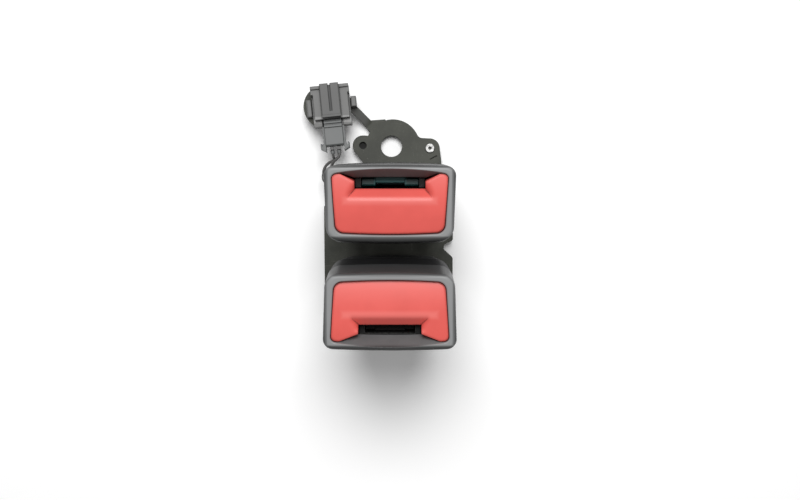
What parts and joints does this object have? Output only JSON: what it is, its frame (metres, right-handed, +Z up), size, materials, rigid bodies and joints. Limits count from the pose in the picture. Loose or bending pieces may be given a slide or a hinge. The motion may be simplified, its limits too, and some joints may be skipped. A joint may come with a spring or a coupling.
{
  "type": "twin seat belt buckle",
  "caption": "Two push-button seat belt buckle heads on one bent anchor plate, facing opposite ways, with an arm that holds a plugged switch connector.",
  "frame": {"origin": "centre of the anchor bolt hole on the plate's underside", "axes": "+Z up the two heads, +Y from the heads towards the bolt hole, +X to the side away from the connector"},
  "size_m": [0.08, 0.1309, 0.1111],
  "materials": {
    "bezel_grey": "fine grained moulded plastic",
    "cover_black": "fine grained moulded plastic",
    "button_red": "satin moulded plastic",
    "bright_steel": "ground steel",
    "spring_steel": "drawn wire",
    "frame_steel": "dark phosphate coating",
    "ejector_teal": "moulded acetal",
    "plate_black": "dark phosphate and paint",
    "bright_zinc": "bright zinc",
    "connector_grey": "moulded nylon",
    "plug_grey": "moulded nylon",
    "wire_grey": "soft wire insulation"
  },
  "bodies": {
    "base": {"near_bezel": "bezel_grey", "near_slot_shell": "cover_black", "near_button_shell": "cover_black", "near_button_springs": "spring_steel", "near_frame": "frame_steel", "near_latch_pin": "bright_steel", "near_ejector_spring": "spring_steel", "near_frame_rivets": "bright_steel", "near_lug_bracket": "plate_black", "far_bezel": "bezel_grey", "far_slot_shell": "cover_black", "far_button_shell": "cover_black", "far_button_springs": "spring_steel", "far_frame": "frame_steel", "far_latch_pin": "bright_steel", "far_ejector_spring": "spring_steel", "far_frame_rivets": "bright_steel", "far_lug_bracket": "plate_black", "base_plate": "plate_black", "lug_rivets": "plate_black", "locating_pin": "bright_zinc", "belt_switch": "cover_black", "connector_clip": "connector_grey", "connector_housing": "connector_grey", "connector_latch": "connector_grey", "plug_housing": "plug_grey", "plug_lock": "plug_grey", "plug_terminals": "cover_black", "switch_wire_1": "wire_grey", "switch_wire_2": "wire_grey"},
    "near_button": {"near_press_button": "button_red", "near_release_bar": "bright_steel"},
    "near_latch": {"near_latch_plate": "bright_steel"},
    "near_ejector": {"near_ejector": "ejector_teal"},
    "far_button": {"far_press_button": "button_red", "far_release_bar": "bright_steel"},
    "far_latch": {"far_latch_plate": "bright_steel"},
    "far_ejector": {"far_ejector": "cover_black"}
  },
  "joints": [
    {"name": "near_button_press", "type": "slide", "parent": "base", "child": "near_button", "axis": [0, 0, -1], "range_m": [0, 0.005], "stiffness_N_per_m": 900, "springref_m": -0.004, "deforming": ["near_button_springs"]},
    {"name": "near_ejector_push", "type": "slide", "parent": "base", "child": "near_ejector", "axis": [0, 0, -1], "range_m": [0, 0.012], "stiffness_N_per_m": 500, "springref_m": -0.008, "deforming": ["near_ejector_spring"]},
    {"name": "near_latch_swing", "type": "hinge", "parent": "base", "child": "near_latch", "pos_m": [0, -0.021, 0.0535], "axis": [-1, 0, 0], "range_deg": [0, 19]},
    {"name": "far_button_press", "type": "slide", "parent": "base", "child": "far_button", "axis": [0, 0, -1], "range_m": [0, 0.005], "stiffness_N_per_m": 900, "springref_m": -0.004, "deforming": ["far_button_springs"]},
    {"name": "far_ejector_push", "type": "slide", "parent": "base", "child": "far_ejector", "axis": [0, 0, -1], "range_m": [0, 0.012], "stiffness_N_per_m": 500, "springref_m": -0.008, "deforming": ["far_ejector_spring"]},
    {"name": "far_latch_swing", "type": "hinge", "parent": "base", "child": "far_latch", "pos_m": [0, -0.0734, 0.067], "axis": [1, 0, 0], "range_deg": [0, 19]}
  ],
  "couplings": [
    {"joint": "near_latch_swing", "follows": "near_ejector_push", "rad_per_m": 27.6},
    {"joint": "far_latch_swing", "follows": "far_ejector_push", "rad_per_m": 27.6}
  ]
}
